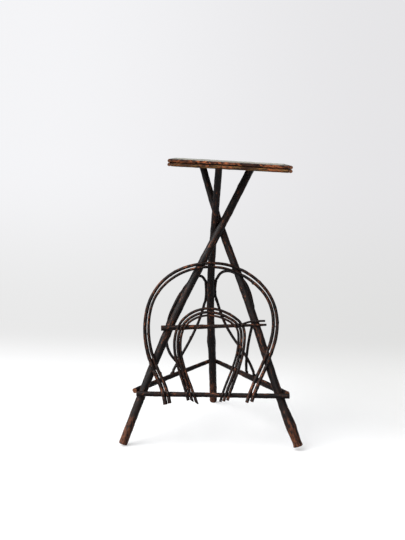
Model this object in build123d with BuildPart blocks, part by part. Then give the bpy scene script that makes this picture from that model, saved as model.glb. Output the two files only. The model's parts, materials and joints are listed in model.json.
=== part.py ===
from build123d import *
import math
import os

# Rustic stand: three crossed saplings carry a small square top edged with twigs.
# Every side of the tripod has a lower stretcher and bent twigs nailed outside it.
# +Z is up and the front, with its horseshoe arches, faces -Y. The origin is on the
# floor, in the middle of the ground that the stand covers.

# ---------------------------------------------------------------- driving sizes
TOUCH = 0.3  # air left between two sticks that are nailed together
ALONG_TOUCH = 0.8  # and between a leg and a bent twig that runs along it

# the crossed legs
UNDERSIDE_HEIGHT = 759.5  # floor to the board's underside, under the top's middle
FOOT_CIRCLE_RADIUS = 282.0
LEG_TOP_CIRCLE_RADIUS = 79.0
LEG_TWIST = 169.3  # degrees that each leg turns round the stand on its way up
LEG_HEADS_SHIFT = 18.5  # the heads' middle is this far to the right of the feet's middle

LEG_LEFT_FOOT_GIRTH = 23.6
LEG_LEFT_TOP_GIRTH = 21.6
LEG_LEFT_BOW = (-18.0, -3.0, 1.5)  # sideways bow, as a first, second and third wave
LEG_LEFT_KNOT_HEIGHT = 296.0
LEG_LEFT_KNOT_REACH = 20.0
LEG_LEFT_KNOT_RISE = 1.6

LEG_RIGHT_FOOT_GIRTH = 22.8
LEG_RIGHT_TOP_GIRTH = 19.4
LEG_RIGHT_BOW = (-5.0, 0.0, -3.0)
LEG_RIGHT_KNOB_HEIGHT = 66.0
LEG_RIGHT_KNOB_REACH = 28.0
LEG_RIGHT_KNOB_RISE = 6.4

LEG_BACK_FOOT_GIRTH = 22.6
LEG_BACK_TOP_GIRTH = 19.4
LEG_BACK_BOW = (-15.5, 2.0, 1.0)
LEG_BACK_RING_HEIGHT = 226.0
LEG_BACK_RING_REACH = 17.0
LEG_BACK_RING_RISE = 4.4

LEG_SECTION_STEP = 55.0  # from one section of a leg to the next
LEG_SECTION_GAP = 9.0  # sections nearer to each other than this are left out

# the lower stretchers and the forked rail
STRETCHER_HEIGHT = 145.0  # of both back ones
STRETCHER_GIRTH = 12.4
STRETCHER_OVERRUN = 15.0
FRONT_STRETCHER_LEFT_HEIGHT = 141.2
FRONT_STRETCHER_RIGHT_HEIGHT = 142.6
FRONT_STRETCHER_RIGHT_OVERRUN = 26.5
RAIL_LEFT_HEIGHT = 319.2
RAIL_RIGHT_HEIGHT = 328.8
RAIL_GIRTH = 10.4  # where it crosses the left leg
RAIL_TIP_GIRTH = 6.6  # where its lower prong crosses the right leg
RAIL_OVERRUN = 27.0
RAIL_FORK_ACROSS = 72.0  # the fork stands this far to the right of the stand's axis
PRONG_GIRTH = 6.0
PRONG_RISE = 10.4  # from the lower prong to the upper one, along the right leg

# the bent twigs
BIG_OUTER_GIRTH = 8.4
BIG_OUTER_TAILS = (4.0, 20.0)  # left and right, past the twig's last stations
BIG_INNER_GIRTH = 7.8
BIG_INNER_TAILS = (4.0, 22.5)
SMALL_OUTER_GIRTH = 7.3
SMALL_OUTER_TAILS = (16.0, 14.5)
SMALL_MIDDLE_GIRTH = 7.3
SMALL_MIDDLE_TAILS = (21.0, 17.0)
SMALL_INNER_GIRTH = 5.8
SMALL_INNER_TAILS = (28.0, 18.5)
SMALL_ARCH_HEIGHTS = (200.0, 290.0)  # of their stations under the rail
SMALL_CROWN_ACROSS = -17.0  # their crowns stand this far to the left of the stand's axis
LOOP_GIRTH = 8.2
LOOP_TAILS = (8.0, 8.0)

# the top
BOARD_WIDTH = 305.0
BOARD_THICKNESS = 19.0
BOARD_SHIFT = 33.6  # the board's middle is this far to the right of the feet's middle
BOARD_TILT = 2.1  # degrees that it falls towards +X
EDGE_NAIL_SHARES = (-0.38, 0.02, 0.4)  # along the board's edge, from its middle
EDGE_NAIL_BITE = 12.0

# nails
BOARD_NAIL_GIRTH = 3.0
BOARD_NAIL_BITE = 42.0  # how deep a board nail goes into the leg under it
NAIL_GIRTH = 1.8
NAIL_SET = 0.8  # a board nail is punched this far under the board's face
NAIL_BITE = 8.0  # how deep a nail goes into the stick under the outer one
WAIST_NAIL_GIRTH = 2.4
WAIST_NAIL_BITE = 12.0

# ------------------------------------------------------------------- the legs
UP = Vector(0, 0, 1)
EDGE_TWIG_GIRTH = (BOARD_THICKNESS - TOUCH) / 2  # two rows of twigs hide the board's edge
FRONT_REACH = BOARD_WIDTH / 2 + TOUCH + EDGE_TWIG_GIRTH
BACK_REACH = FOOT_CIRCLE_RADIUS + LEG_BACK_FOOT_GIRTH / 2
STAND_AXIS = Vector(0, (FRONT_REACH - BACK_REACH) / 2, 0)
WAIST_SHARE = 0.78  # how far up a leg the three of them cross
HUMP_POWER = math.log(0.5) / math.log(WAIST_SHARE)


class Sapling:
    """A leg: a straight run from its foot to its top, bowed and swollen a little."""

    def __init__(self, foot_angle, foot_girth, top_girth, bow, swellings):
        top_angle = math.radians(foot_angle + LEG_TWIST)
        foot_angle = math.radians(foot_angle)
        self.foot = STAND_AXIS + Vector(math.cos(foot_angle), math.sin(foot_angle)) * FOOT_CIRCLE_RADIUS
        reach = Vector(math.cos(top_angle), math.sin(top_angle)) * LEG_TOP_CIRCLE_RADIUS
        self.head = STAND_AXIS + reach + Vector(LEG_HEADS_SHIFT, 0, UNDERSIDE_HEIGHT)
        self.foot_girth = foot_girth
        self.top_girth = top_girth
        self.bow = bow
        self.swellings = swellings
        self.nudge = Vector(0, 0, 0)

    def at(self, height):
        """The centre of the leg at a height above the floor."""
        share = height / UNDERSIDE_HEIGHT
        bow = sum(size * math.sin((wave + 1) * math.pi * share) for wave, size in enumerate(self.bow))
        hump = math.sin(math.pi * share**HUMP_POWER) if 0 < share < 1 else 0
        return self.foot + (self.head - self.foot) * share + Vector(bow, 0, 0) + self.nudge * hump

    def along(self, height):
        """The leg's own direction, pointing up."""
        return (self.at(height + 1) - self.at(height - 1)).normalized()

    def girth(self, height):
        share = height / UNDERSIDE_HEIGHT
        girth = self.foot_girth + (self.top_girth - self.foot_girth) * share
        for middle, reach, rise, _ in self.swellings:
            girth += rise * math.exp(-(((height - middle) / reach) ** 2))
        return girth

    def centre(self, height):
        """The middle of the section at a height: a swelling may stand out to one side."""
        centre = self.at(height)
        for middle, reach, rise, side in self.swellings:
            centre += Vector(side * rise / 2 * math.exp(-(((height - middle) / reach) ** 2)), 0, 0)
        return centre

    def sections(self):
        """Sections from the square-cut foot, whose rim is on the floor, up past the board's underside."""
        lean = self.along(0)
        low = self.girth(0) / 2 * math.sqrt(1 - lean.Z**2)
        high = UNDERSIDE_HEIGHT + LEG_SECTION_STEP / 2
        steps = round((high - low) / LEG_SECTION_STEP)
        heights = [low + (high - low) * step / steps for step in range(steps + 1)]
        for middle, reach, _, _ in self.swellings:
            heights += [middle + reach * share for share in (-1.6, -0.8, 0, 0.8, 1.6)]
        kept = [low]
        for height in sorted(heights):
            if height - kept[-1] > LEG_SECTION_GAP:
                kept.append(height)
        return [(self.centre(height), self.along(height), self.girth(height)) for height in kept]


def nearest(leg_a, leg_b):
    """The two centre points where a pair of legs come closest to each other."""
    height_a = height_b = WAIST_SHARE * UNDERSIDE_HEIGHT
    for _ in range(8):
        point_a, point_b = leg_a.at(height_a), leg_b.at(height_b)
        way_a, way_b = leg_a.along(height_a), leg_b.along(height_b)
        apart = point_b - point_a
        slant = way_a.dot(way_b)
        spread = 1 - slant * slant
        height_a += (apart.dot(way_a) - apart.dot(way_b) * slant) / spread * way_a.Z
        height_b += (apart.dot(way_a) * slant - apart.dot(way_b)) / spread * way_b.Z
    return height_a, height_b


leg_left = Sapling(
    210,
    LEG_LEFT_FOOT_GIRTH,
    LEG_LEFT_TOP_GIRTH,
    LEG_LEFT_BOW,
    [(LEG_LEFT_KNOT_HEIGHT, LEG_LEFT_KNOT_REACH, LEG_LEFT_KNOT_RISE, 0)],
)
leg_right = Sapling(
    330,
    LEG_RIGHT_FOOT_GIRTH,
    LEG_RIGHT_TOP_GIRTH,
    LEG_RIGHT_BOW,
    [(LEG_RIGHT_KNOB_HEIGHT, LEG_RIGHT_KNOB_REACH, LEG_RIGHT_KNOB_RISE, 0.4)],
)
leg_back = Sapling(
    90,
    LEG_BACK_FOOT_GIRTH,
    LEG_BACK_TOP_GIRTH,
    LEG_BACK_BOW,
    [(LEG_BACK_RING_HEIGHT, LEG_BACK_RING_REACH, LEG_BACK_RING_RISE, 0)],
)
LEG_PAIRS = ((leg_left, leg_right), (leg_back, leg_left), (leg_right, leg_back))

# The legs spring against each other: every pair is moved apart or together at the
# waist, again and again, until all three just touch.
for _ in range(60):
    for leg_a, leg_b in LEG_PAIRS:
        height_a, height_b = nearest(leg_a, leg_b)
        apart = leg_b.at(height_b) - leg_a.at(height_a)
        snug = (leg_a.girth(height_a) + leg_b.girth(height_b)) / 2 + TOUCH
        push = apart.normalized() * ((snug - apart.length) / 2)
        leg_b.nudge += Vector(push.X, push.Y, 0)
        leg_a.nudge -= Vector(push.X, push.Y, 0)


# ------------------------------------------------------------- the three sides
class Side:
    """One face of the tripod, seen from outside: across it, up it and out of it."""

    def __init__(self, out_angle, left, right):
        self.left = left
        self.right = right
        self.out = Vector(math.cos(math.radians(out_angle)), math.sin(math.radians(out_angle)))
        self.across = Vector(-self.out.Y, self.out.X)

    def point(self, across, height, out):
        return STAND_AXIS + self.across * across + UP * height + self.out * out

    def across_of(self, point):
        return (point - STAND_AXIS).dot(self.across)

    def out_of(self, point):
        return (point - STAND_AXIS).dot(self.out)


front = Side(270, leg_left, leg_right)
back_right = Side(30, leg_right, leg_back)
back_left = Side(150, leg_back, leg_left)


class Nail:
    """A headless nail, driven from its start along its way through the pieces it holds."""

    def __init__(self, start, way, length, girth, holds):
        self.start = start
        self.way = way
        self.length = length
        self.girth = girth
        self.holds = holds


class Seat:
    """Where one stick lies on another, just outside it: across it, or along it if it has no way."""

    def __init__(self, side, under, place, over_way, over_girth):
        under_way = under.along(place)
        if over_way is None:
            air = ALONG_TOUCH
            outward = (side.out - under_way * side.out.dot(under_way)).normalized()
        else:
            air = TOUCH
            outward = under_way.cross(over_way).normalized()
        if outward.dot(side.out) < 0:
            outward = -outward
        self.under = under
        self.outward = outward
        self.over_girth = over_girth
        self.centre = under.centre(place) + outward * ((under.girth(place) + over_girth) / 2 + air)

    def nail(self, over):
        """The nail that holds the outer stick here."""
        start = self.centre + self.outward * self.over_girth / 2
        return Nail(start, -self.outward, self.over_girth + TOUCH + NAIL_BITE, NAIL_GIRTH, (over, self.under))


class Straight:
    """A straight stick nailed across the two legs of a side, running past both."""

    def __init__(self, side, heights, girths, overruns):
        self.side = side
        self.girths = girths
        self.way = side.across
        for _ in range(4):
            self.left_seat = Seat(side, side.left, heights[0], self.way, girths[0])
            self.right_seat = Seat(side, side.right, heights[1], self.way, girths[1])
            self.way = (self.right_seat.centre - self.left_seat.centre).normalized()
        self.left_across = side.across_of(self.left_seat.centre)
        self.right_across = side.across_of(self.right_seat.centre)
        self.overruns = overruns
        self.nails = [self.left_seat.nail(self), self.right_seat.nail(self)]

    def share(self, across):
        return (across - self.left_across) / (self.right_across - self.left_across)

    def centre(self, across):
        """The centre of the stick at a place across its side."""
        left, right = self.left_seat.centre, self.right_seat.centre
        return left + (right - left) * self.share(across)

    def along(self, across):
        return self.way

    def girth(self, across):
        return self.girths[0] + (self.girths[1] - self.girths[0]) * self.share(across)

    def sections(self):
        ends = (self.left_across - self.overruns[0], self.right_across + self.overruns[1])
        return [(self.centre(end), self.way, self.girth(end)) for end in ends]


ALONG = "along"
SETTLE_ROUNDS = 5


def is_seat(station):
    return isinstance(station[0], (Sapling, Straight))


def arc_meeting(start, start_way, end, end_way):
    """Where two tangent arcs meet that lead from one point and way to another."""
    apart = end - start
    lean = apart.dot(start_way + end_way)
    turn = 2 * (1 - start_way.dot(end_way))
    if turn < 1e-9:
        reach = apart.dot(apart) / (2 * lean)
    else:
        reach = (math.sqrt(lean**2 + turn * apart.dot(apart)) - lean) / turn
    return (start + end + (start_way - end_way) * reach) / 2


class Bent:
    """A twig bent over one side of the stand, given by its stations from tail to tail.

    A station is a leg with a height, or a straight stick with a place across its side,
    where the twig is nailed on, with ALONG where it runs along the leg; or it is free: a
    place across the side and a height, with a lift where the twig passes over or under
    itself. A free station lies as far out as the seats of its own half say. Past its
    first and last station the twig runs straight on.
    """

    def __init__(self, side, girth, tails, stations):
        self.side = side
        self.girth = girth
        self.tails = tails
        self.stations = stations
        flat = [self.flat(station) for station in stations]
        self.ways = []
        for before, after in zip([flat[0], *flat], [*flat[1:], flat[-1]]):
            way = side.across * (after[0] - before[0]) + UP * (after[1] - before[1])
            self.ways.append(way.normalized())
        for _ in range(SETTLE_ROUNDS):
            self.settle()

    def settle(self):
        """Lay the twig on its seats, and take the way that it then passes each station."""
        self.seats = {}
        for index, station in enumerate(self.stations):
            if is_seat(station):
                way = None if ALONG in station else self.ways[index]
                self.seats[index] = Seat(self.side, station[0], station[1], way, self.girth)
        self.points = []
        for index, station in enumerate(self.stations):
            if index in self.seats:
                self.points.append(self.seats[index].centre)
            else:
                lift = station[2] if len(station) > 2 else 0
                self.points.append(self.side.point(station[0], station[1], self.out_at(*station[:2]) + lift))
        with BuildLine():
            course = Spline(*self.points)
        self.ways = [(course % course.param_at_point(point)).normalized() for point in self.points]

    def draw(self):
        """Its centre line, in the line being made: two tangent arcs between stations."""
        Line(self.points[0] - self.ways[0] * self.tails[0], self.points[0])
        stops = list(zip(self.points, self.ways))
        for (start, start_way), (end, end_way) in zip(stops, stops[1:]):
            middle = arc_meeting(start, start_way, end, end_way)
            first = TangentArc(start, middle, tangent=start_way)
            TangentArc(middle, end, tangent=first % 1)
        Line(self.points[-1], self.points[-1] + self.ways[-1] * self.tails[1])

    def flat(self, station):
        """A station as a place across its side and a height."""
        if is_seat(station):
            centre = station[0].centre(station[1])
            return self.side.across_of(centre), centre.Z
        return station[:2]

    def out_at(self, across, height):
        """How far out a free stretch lies: on a line through the seats of its half."""
        halves = []
        for half in (-1, 1):
            own = [seat.centre for seat in self.seats.values() if self.side.across_of(seat.centre) * half > 0]
            own.sort(key=lambda point: point.Z)
            for low, high in zip(own, own[1:]):
                if height <= high.Z:
                    break
            share = (height - low.Z) / (high.Z - low.Z)
            out = self.side.out_of(low) + (self.side.out_of(high) - self.side.out_of(low)) * share
            halves.append((self.side.across_of(own[-1]), out))
        (left_inner, left_out), (right_inner, right_out) = halves
        share = min(max((across - left_inner) / (right_inner - left_inner), 0), 1)
        return left_out + (right_out - left_out) * share


# ------------------------------------------------------------- where the sticks lie
def back_stretcher(side):
    return Straight(side, (STRETCHER_HEIGHT,) * 2, (STRETCHER_GIRTH,) * 2, (STRETCHER_OVERRUN,) * 2)


bar_back_right = back_stretcher(back_right)
bar_back_left = back_stretcher(back_left)
bar_front = Straight(
    front,
    (FRONT_STRETCHER_LEFT_HEIGHT, FRONT_STRETCHER_RIGHT_HEIGHT),
    (STRETCHER_GIRTH,) * 2,
    (STRETCHER_OVERRUN, FRONT_STRETCHER_RIGHT_OVERRUN),
)
rail = Straight(
    front,
    (RAIL_LEFT_HEIGHT, RAIL_RIGHT_HEIGHT),
    (RAIL_GIRTH, RAIL_TIP_GIRTH),
    (RAIL_OVERRUN,) * 2,
)
prong_seat = Seat(front, leg_right, RAIL_RIGHT_HEIGHT + PRONG_RISE, rail.way, PRONG_GIRTH)
prong_nail = prong_seat.nail(rail)

big_arch_outer = Bent(
    front,
    BIG_OUTER_GIRTH,
    BIG_OUTER_TAILS,
    [
        (-126.8, 126),
        (bar_front, -133),
        (leg_left, 215),
        (-189.5, 332),
        (-171, 410),
        (-128, 461.5),
        (leg_left, 495),
        (leg_right, 481.5),
        (114.5, 455.5),
        (158, 405),
        (175, 338),
        (leg_right, 234),
        (bar_front, 114.3),
    ],
)
big_arch_inner = Bent(
    front,
    BIG_INNER_GIRTH,
    BIG_INNER_TAILS,
    [
        (-115.5, 129),
        (bar_front, -120.8),
        (leg_left, 229),
        (-179.5, 328),
        (-162, 406),
        (-121.4, 453),
        (leg_left, 484),
        (leg_right, 467),
        (107, 447),
        (149, 400.5),
        (164.5, 335),
        (leg_right, 250),
        (bar_front, 101.5),
    ],
)


def small_arch(girth, tails, feet, lows, highs, at_rail, shoulders, shoulder_height, crown):
    """One of the nested small arches: places across, left and right, and two heights."""
    low, high = SMALL_ARCH_HEIGHTS
    return Bent(
        front,
        girth,
        tails,
        [
            (bar_front, feet[0]),
            (lows[0], low),
            (highs[0], high),
            (rail, at_rail[0]),
            (shoulders[0], shoulder_height),
            (SMALL_CROWN_ACROSS, crown),
            (shoulders[1], shoulder_height),
            (rail, at_rail[1]),
            (highs[1], high),
            (lows[1], low),
            (bar_front, feet[1]),
        ],
    )


small_arch_outer = small_arch(
    SMALL_OUTER_GIRTH,
    SMALL_OUTER_TAILS,
    feet=(-69, 46),
    lows=(-87.2, 64.5),
    highs=(-106.3, 85.3),
    at_rail=(-99, 78),
    shoulders=(-74, 52.4),
    shoulder_height=356.4,
    crown=377,
)
small_arch_middle = small_arch(
    SMALL_MIDDLE_GIRTH,
    SMALL_MIDDLE_TAILS,
    feet=(-59.5, 36.7),
    lows=(-78.4, 55.7),
    highs=(-97, 76.4),
    at_rail=(-89, 67.8),
    shoulders=(-68.8, 48.3),
    shoulder_height=348.4,
    crown=367,
)
small_arch_inner = small_arch(
    SMALL_INNER_GIRTH,
    SMALL_INNER_TAILS,
    feet=(-49.5, 27.5),
    lows=(-70.7, 46.4),
    highs=(-89.6, 68.8),
    at_rail=(-80.3, 57.8),
    shoulders=(-64.7, 44.5),
    shoulder_height=341.8,
    crown=358.4,
)

# each loop is one twig: up from its tail, round over both legs, and down across itself
LOOP_LIFT = (LOOP_GIRTH + TOUCH) / 2
loop_back_left = Bent(
    back_left,
    LOOP_GIRTH,
    LOOP_TAILS,
    [
        (bar_back_left, -54),
        (-15.8, 176, -LOOP_LIFT),
        (82, 258),
        (leg_left, 350),
        (leg_left, 410, ALONG),
        (-14, 449),
        (leg_back, 401, ALONG),
        (-71, 279.5),
        (-15.8, 176, LOOP_LIFT),
        (bar_back_left, 7),
    ],
)
loop_back_right = Bent(
    back_right,
    LOOP_GIRTH,
    LOOP_TAILS,
    [
        (bar_back_right, -16),
        (8, 193, LOOP_LIFT),
        (77, 281),
        (96.5, 350),
        (leg_back, 404, ALONG),
        (10, 467),
        (leg_right, 430, ALONG),
        (-79, 390),
        (-61, 328.5),
        (-26.7, 269),
        (8, 193, -LOOP_LIFT),
        (bar_back_right, 28),
    ],
)

# ------------------------------------------------------------------- the top
tilt = math.radians(BOARD_TILT)
board_plane = Plane(
    origin=STAND_AXIS + Vector(BOARD_SHIFT, 0, UNDERSIDE_HEIGHT),
    x_dir=(math.cos(tilt), 0, -math.sin(tilt)),
    z_dir=(math.sin(tilt), 0, math.cos(tilt)),
)
EDGE_TWIG_OUT = BOARD_WIDTH / 2 + TOUCH + EDGE_TWIG_GIRTH / 2
EDGE_ROWS = {"lower": EDGE_TWIG_GIRTH / 2, "upper": EDGE_TWIG_GIRTH * 1.5 + TOUCH}


class EdgeTwig:
    """A twig along one edge of the board; the side twigs run on past the others' ends."""

    def __init__(self, out_angle, row):
        turn = math.radians(out_angle)
        self.plane = Plane(
            origin=board_plane.origin,
            x_dir=board_plane.x_dir * math.cos(turn) + board_plane.y_dir * math.sin(turn),
            z_dir=board_plane.z_dir,
        )
        covers_ends = out_angle in (0, 180)
        self.reach = BOARD_WIDTH / 2 + (TOUCH + EDGE_TWIG_GIRTH if covers_ends else 0)
        self.height = EDGE_ROWS[row]
        start_out = EDGE_TWIG_OUT + EDGE_TWIG_GIRTH / 2
        places = [BOARD_WIDTH * share for share in EDGE_NAIL_SHARES]
        self.nails = [
            Nail(
                self.plane.from_local_coords(Vector(start_out, place, self.height)),
                -self.plane.x_dir,
                EDGE_TWIG_GIRTH + TOUCH + EDGE_NAIL_BITE,
                NAIL_GIRTH,
                (self, board_plane),
            )
            for place in places
        ]

    def sections(self):
        ends = [Vector(EDGE_TWIG_OUT, end, self.height) for end in (-self.reach, self.reach)]
        return [(self.plane.from_local_coords(end), self.plane.y_dir, EDGE_TWIG_GIRTH) for end in ends]


edge_twigs = {
    f"edge_twig_{name}_{row}": EdgeTwig(out_angle, row)
    for name, out_angle in (("right", 0), ("back", 90), ("left", 180), ("front", 270))
    for row in EDGE_ROWS
}

# ------------------------------------------------------------------- the nails
def board_nail(leg):
    """A nail driven down through the board and on along the axis of the leg under it."""
    foot = leg.centre(UNDERSIDE_HEIGHT)
    way = leg.along(UNDERSIDE_HEIGHT)
    slope = way.dot(board_plane.z_dir)
    under = (board_plane.origin - foot).dot(board_plane.z_dir) / slope
    top = under + BOARD_THICKNESS / slope - NAIL_SET
    length = BOARD_THICKNESS / slope - NAIL_SET + BOARD_NAIL_BITE
    return Nail(foot + way * top, -way, length, BOARD_NAIL_GIRTH, (board_plane, leg))


def waist_nail(outer_leg, inner_leg):
    """A nail through one leg into the next, where the two cross."""
    outer_height, inner_height = nearest(outer_leg, inner_leg)
    outer = outer_leg.centre(outer_height)
    way = (inner_leg.centre(inner_height) - outer).normalized()
    girth = outer_leg.girth(outer_height)
    length = girth + TOUCH + WAIST_NAIL_BITE
    return Nail(outer - way * girth / 2, way, length, WAIST_NAIL_GIRTH, (outer_leg, inner_leg))


nails = {
    "nails_board": [board_nail(leg) for leg in (leg_left, leg_right, leg_back)],
    "nails_waist": [waist_nail(*pair) for pair in LEG_PAIRS],
    "nails_stretchers": [*bar_front.nails, *bar_back_left.nails, *bar_back_right.nails],
    "nails_rail": [*rail.nails, prong_nail],
    "nails_edging": [nail for twig in edge_twigs.values() for nail in twig.nails],
}


# ------------------------------------------------------------------- the solids
def drive(nail, lead=0, mode=Mode.ADD):
    """The nail, or with a lead and Mode.SUBTRACT its hole, in the part being made."""
    with Locations(Plane(origin=nail.start - nail.way * lead, z_dir=nail.way)):
        Box(nail.girth, nail.girth, nail.length + lead, align=(Align.CENTER, Align.CENTER, Align.MIN), mode=mode)


def drill(piece):
    for group in nails.values():
        for nail in group:
            if any(held is piece for held in nail.holds):
                drive(nail, lead=nail.girth, mode=Mode.SUBTRACT)


def straight_stick(piece, sections, facing, cut_off=None):
    """A stick lofted through round sections, each a centre, a direction and a girth."""
    with BuildPart() as stick:
        for centre, way, girth in sections:
            level = (facing - way * facing.dot(way)).normalized()
            with BuildSketch(Plane(origin=centre, x_dir=level, z_dir=way)):
                Circle(girth / 2)
        loft(ruled=True)
        if cut_off:
            split(bisect_by=cut_off, keep=Keep.BOTTOM)
        drill(piece)
    return stick


def bent_stick(twig):
    """A twig of one girth, swept along its centre line."""
    with BuildPart() as stick:
        with BuildLine() as course:
            twig.draw()
        with BuildSketch(Plane(origin=course.line @ 0, x_dir=twig.side.out, z_dir=course.line % 0)):
            Circle(twig.girth / 2)
        sweep()
    return stick


def finish(made, name):
    made.part.label = name
    export_step(made.part, f"parts/{name}.step")


os.makedirs("parts", exist_ok=True)

for name, leg in (("leg_left", leg_left), ("leg_right", leg_right), ("leg_back", leg_back)):
    finish(straight_stick(leg, leg.sections(), UP.cross(leg.along(0)), cut_off=board_plane), name)

for name, bar in (
    ("stretcher_front", bar_front),
    ("stretcher_back_left", bar_back_left),
    ("stretcher_back_right", bar_back_right),
):
    finish(straight_stick(bar, bar.sections(), bar.side.out), name)

with BuildPart() as mid_rail:
    for centre, way, girth in rail.sections():
        with BuildSketch(Plane(origin=centre, x_dir=UP, z_dir=way)):
            Circle(girth / 2)
    loft(ruled=True)
    with BuildLine():
        prong = Line(prong_seat.centre + rail.way * RAIL_OVERRUN, prong_seat.centre)
        TangentArc(prong @ 1, rail.centre(RAIL_FORK_ACROSS), tangent=prong % 1)
    with BuildSketch(Plane(origin=prong @ 0, x_dir=UP, z_dir=prong % 0)):
        Circle(PRONG_GIRTH / 2)
    sweep()
    drill(rail)
finish(mid_rail, "mid_rail")

for name, twig in (
    ("big_arch_outer", big_arch_outer),
    ("big_arch_inner", big_arch_inner),
    ("small_arch_outer", small_arch_outer),
    ("small_arch_middle", small_arch_middle),
    ("small_arch_inner", small_arch_inner),
    ("loop_back_left", loop_back_left),
    ("loop_back_right", loop_back_right),
):
    finish(bent_stick(twig), name)

with BuildPart() as top_board:
    with BuildSketch(board_plane):
        Rectangle(BOARD_WIDTH, BOARD_WIDTH)
    extrude(amount=BOARD_THICKNESS)
    drill(board_plane)
finish(top_board, "top_board")

for name, twig in edge_twigs.items():
    finish(straight_stick(twig, twig.sections(), board_plane.z_dir), name)

for name, group in nails.items():
    with BuildPart() as nail_group:
        for nail in group:
            drive(nail)
    finish(nail_group, name)
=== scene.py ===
import json
import math
import random

import bmesh
import bpy
import numpy as np
from bpy.props import FloatProperty, FloatVectorProperty, PointerProperty
from mathutils import Matrix, Vector, noise
from mathutils.bvhtree import BVHTree


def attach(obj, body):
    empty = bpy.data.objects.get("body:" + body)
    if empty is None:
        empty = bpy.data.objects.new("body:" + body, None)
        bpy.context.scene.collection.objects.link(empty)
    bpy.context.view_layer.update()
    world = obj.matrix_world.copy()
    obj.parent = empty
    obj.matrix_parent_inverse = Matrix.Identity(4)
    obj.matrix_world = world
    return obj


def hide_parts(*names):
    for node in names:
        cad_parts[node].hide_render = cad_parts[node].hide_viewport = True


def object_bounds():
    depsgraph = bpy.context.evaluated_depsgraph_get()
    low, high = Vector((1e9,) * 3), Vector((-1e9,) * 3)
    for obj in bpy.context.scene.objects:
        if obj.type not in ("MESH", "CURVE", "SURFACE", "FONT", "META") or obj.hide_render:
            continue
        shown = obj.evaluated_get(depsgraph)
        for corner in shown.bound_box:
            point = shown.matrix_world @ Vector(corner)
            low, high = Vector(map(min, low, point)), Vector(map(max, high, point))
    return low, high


bl_info = {
    "name": "Twig Stand",
    "version": (1, 0, 0),
    "blender": (4, 5, 0),
    "location": "View3D > Sidebar > Twig Stand",
    "description": "Dresses a three-legged stand of saplings and bent twigs",
    "category": "Add Mesh",
}

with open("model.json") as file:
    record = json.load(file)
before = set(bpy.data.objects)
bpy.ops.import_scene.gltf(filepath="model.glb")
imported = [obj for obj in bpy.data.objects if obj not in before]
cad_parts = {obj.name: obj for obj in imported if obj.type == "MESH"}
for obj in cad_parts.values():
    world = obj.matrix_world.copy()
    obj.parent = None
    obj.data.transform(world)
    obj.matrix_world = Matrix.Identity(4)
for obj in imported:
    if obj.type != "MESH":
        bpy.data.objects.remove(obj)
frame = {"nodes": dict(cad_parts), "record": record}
NODES = frame["nodes"]
CAD_BOX = [list(corner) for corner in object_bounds()]
UP = Vector((0, 0, 1))

# The top: the middle of the board's upper face, the way out of it and the way along it.
TOP = frame["record"]["mounts"][0]
BOARD_TOP = Vector(TOP["pos_m"])
BOARD_UP = Vector(TOP["axis"]).normalized()
BOARD_ALONG = Vector((0, 1, 0)).cross(BOARD_UP)
BOARD_THICKNESS = 0.019

# How far the points of a stick's flat end can lie from each other: a little more than its girth.
LEG_END = 0.0255
STRETCHER_END = 0.0131
RAIL_ENDS = (0.0115, 0.0068)
PRONG_END = 0.0066
EDGE_TWIG_END = 0.0099

# Steps along the sticks of the frame, where their middle lines are measured.
LEG_STEP = 0.010
TWIG_STEP = 0.005
RAYS = 16
RAYS_NEEDED = 10
LONGEST_WALK = 400
LEVEL_WAYS = 72
UNDER_SKIN = 0.0001

# In radii of the stick: where a ray starts, and how near the middle it may meet the skin.
RAY_START = 1.3
RAY_NEAREST = 0.6
# How squarely a ray has to meet the skin.
RAY_SQUARE = 0.7

# Steps that a leg is drawn on past its last ring, before it is sawn off under the board.
LEG_OVERRUN_STEPS = 5
# Steps from the prong's last ring to its root in the rail, and the root's share of the girth.
PRONG_ROOT_STEPS = 5
PRONG_ROOT_SHARE = 0.8

# Fine places on a course for each of its stations, from which even steps are worked out.
FINE_PLACES = 40

# How far broad lobes and small lumps stand out of a stick, as shares of its radius.
LOBES = 0.05
LUMPS = 0.035
FURROW_WIDTH = 0.0026

# The worn edge of a sawn end, as a share of the radius, and the rings across the end.
WORN_END = 0.12
END_INSETS = (0.45, 0.8, 1 - WORN_END * 0.8)
RIM_INSET = 1 - WORN_END * 0.25
RIM_DROP = 0.35
SAW_ROUGH = 0.0002
SAW_GRAIN = 420

# A brad's head, and the widest air between two sticks that a brad joins.
BRAD_HEAD = 0.0016
BRAD_AIR = 0.0012

# How far a twig is pressed into what it is nailed to, and the air over which that fades out.
PRESS_IN = 0.0002
PRESS_NEAR = 0.001
PRESS_FAR = 0.004

# A stick's girth as shares of the CAD's, at even places from its first end to its last.
# These sticks are made thicker here than their solids are.
SWELLS = {
    "leg_right": (1.05, 1.05, 1.04, 1.0, 1.0),
    "leg_back": (1.04, 1.07, 1.07, 1.0, 1.0),
    "stretcher_front": (1.14, 1.12, 1.02, 1.1, 1.1),
    "stretcher_back_left": (1.2, 1.2, 1.12, 1.05, 1.0),
    "stretcher_back_right": (1.4, 1.5, 1.35, 1.1, 1.0),
    "mid_rail": (1.12, 1.18, 1.15, 1.08, 1.05),
    "big_arch_outer": (1.45, 1.18, 1.0, 1.08, 1.25),
    "big_arch_inner": (1.35, 1.0, 1.0, 1.2, 1.25),
    "small_arch_outer": (1.2, 1.12, 1.03, 1.12, 1.15),
    "small_arch_middle": (1.2, 1.12, 1.03, 1.12, 1.15),
    "small_arch_inner": (1.5, 1.18, 1.05, 1.15, 1.25),
}

# Twigs whose left tail is cut on the slant, and the way that the cut faces.
SLANTED = ("small_arch_inner", "small_arch_middle")
SLANT_WAY = (-0.5, 0, -0.86)

# Where the bark of straight sticks is rubbed most.
FORWARD_AND_UP = (0, -0.8, 1)


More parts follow.
